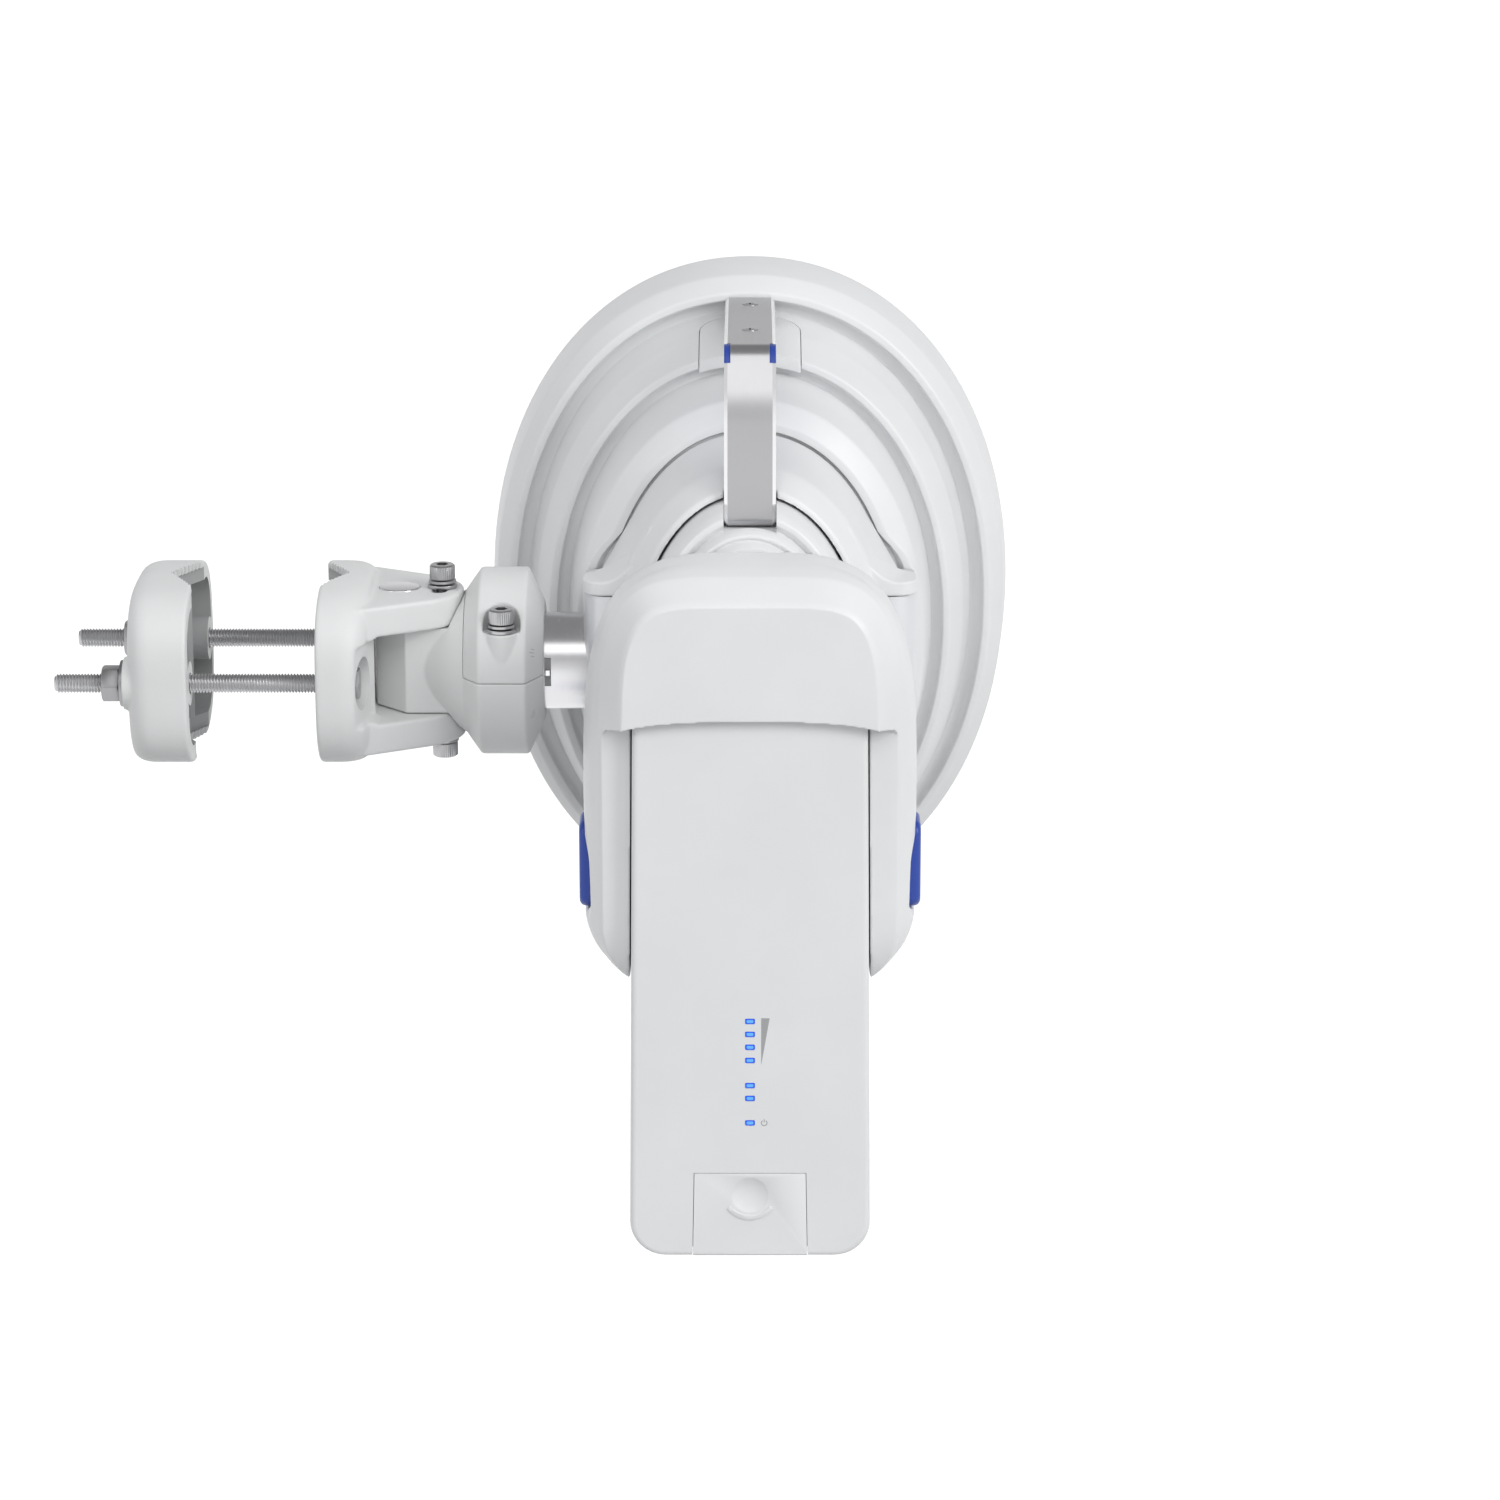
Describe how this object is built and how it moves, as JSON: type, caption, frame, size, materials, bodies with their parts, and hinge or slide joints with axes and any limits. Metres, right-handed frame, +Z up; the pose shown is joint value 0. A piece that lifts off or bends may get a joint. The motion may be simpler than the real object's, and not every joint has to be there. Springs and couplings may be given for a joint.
{
  "type": "outdoor wireless bridge",
  "caption": "Stepped horn antenna with a slide-in radio on its back, held by a side tube in a split ring, a swivel and a toothed vee clamp for a pole.",
  "frame": {"origin": "on the axis of the pole, midway between the two jaws, at the height of the side tube's axis", "axes": "+X from the pole along the side tube towards the antenna, +Y the way the horn fires, +Z up along the pole"},
  "size_m": [0.3413, 0.2294, 0.3139],
  "materials": {
    "shell": "fine satin",
    "casting": "satin powder coat over a die-cast alloy",
    "column": "satin metallic coat",
    "radio": "fine satin",
    "strap": "brushed, bright bevels",
    "inner_metal": "spun",
    "tube": "polished",
    "steel": "turned",
    "blue": "satin",
    "light": "clear",
    "board": "solder mask",
    "brass": "turned",
    "black": "fine grain"
  },
  "bodies": {
    "fork": {"fork_jaw": "casting", "pivot_pin": "tube", "clamp_rod_near": "steel", "clamp_rod_far": "steel"},
    "outer_jaw": {"outer_jaw": "casting", "clamp_washer_near": "steel", "clamp_washer_far": "steel", "clamp_nut_near": "steel", "clamp_nut_far": "steel"},
    "knuckle": {"knuckle": "casting", "ring_cap": "casting", "lock_bolt_top": "steel", "lock_bolt_top_flat_washer": "steel", "lock_bolt_top_spring_washer": "steel", "lock_bolt_bottom": "steel", "lock_bolt_bottom_flat_washer": "steel", "lock_bolt_bottom_spring_washer": "steel", "ring_screw_near": "steel", "ring_screw_near_flat_washer": "steel", "ring_screw_near_spring_washer": "steel", "ring_screw_far": "steel", "ring_screw_far_flat_washer": "steel", "ring_screw_far_spring_washer": "steel"},
    "antenna": {"mast_tube": "tube", "tube_pointer": "shell", "column": "column", "horn_shell": "shell", "radome": "shell", "horn_flare": "inner_metal", "waveguide": "inner_metal", "feed_housing": "shell", "collar": "shell", "port_cover": "shell", "strap": "strap", "strap_insert": "blue", "strap_screw_near": "steel", "strap_screw_far": "steel", "cradle": "black", "hood": "shell"},
    "release_button_left": {"release_button_left": "blue"},
    "release_button_right": {"release_button_right": "blue"},
    "radio": {"radio_front_cover": "radio", "radio_back_housing": "radio", "circuit_board": "board", "shield_can": "steel", "ethernet_jack": "steel", "rf_connector_left": "brass", "rf_connector_right": "brass", "status_light_1": "light", "status_light_2": "light", "status_light_3": "light", "status_light_4": "light", "status_light_5": "light", "status_light_6": "light", "status_light_7": "light"},
    "cable_door": {"cable_door": "radio"}
  },
  "joints": [
    {"name": "jaw_slide", "type": "slide", "parent": "fork", "child": "outer_jaw", "axis": [1, 0, 0], "range_m": [-0.014, 0.032]},
    {"name": "azimuth_swivel", "type": "hinge", "parent": "fork", "child": "knuckle", "pos_m": [0.0495, 0, 0], "axis": [0, 0, 1], "range_deg": [-12, 12]},
    {"name": "elevation_turn", "type": "hinge", "parent": "knuckle", "child": "antenna", "pos_m": [0.087, 0, 0], "axis": [1, 0, 0], "range_deg": [-20, 20]},
    {"name": "radio_slide", "type": "slide", "parent": "antenna", "child": "radio", "axis": [0, 0, -1], "range_m": [0, 0.135]},
    {"name": "door_slide", "type": "slide", "parent": "radio", "child": "cable_door", "axis": [0, 0, -1], "range_m": [0, 0.028]},
    {"name": "left_button_press", "type": "slide", "parent": "antenna", "child": "release_button_left", "axis": [1, 0, 0], "range_m": [0, 0.0025], "stiffness_N_per_m": 900, "springref_m": -0.002},
    {"name": "right_button_press", "type": "slide", "parent": "antenna", "child": "release_button_right", "axis": [-1, 0, 0], "range_m": [0, 0.0025], "stiffness_N_per_m": 900, "springref_m": -0.002}
  ]
}
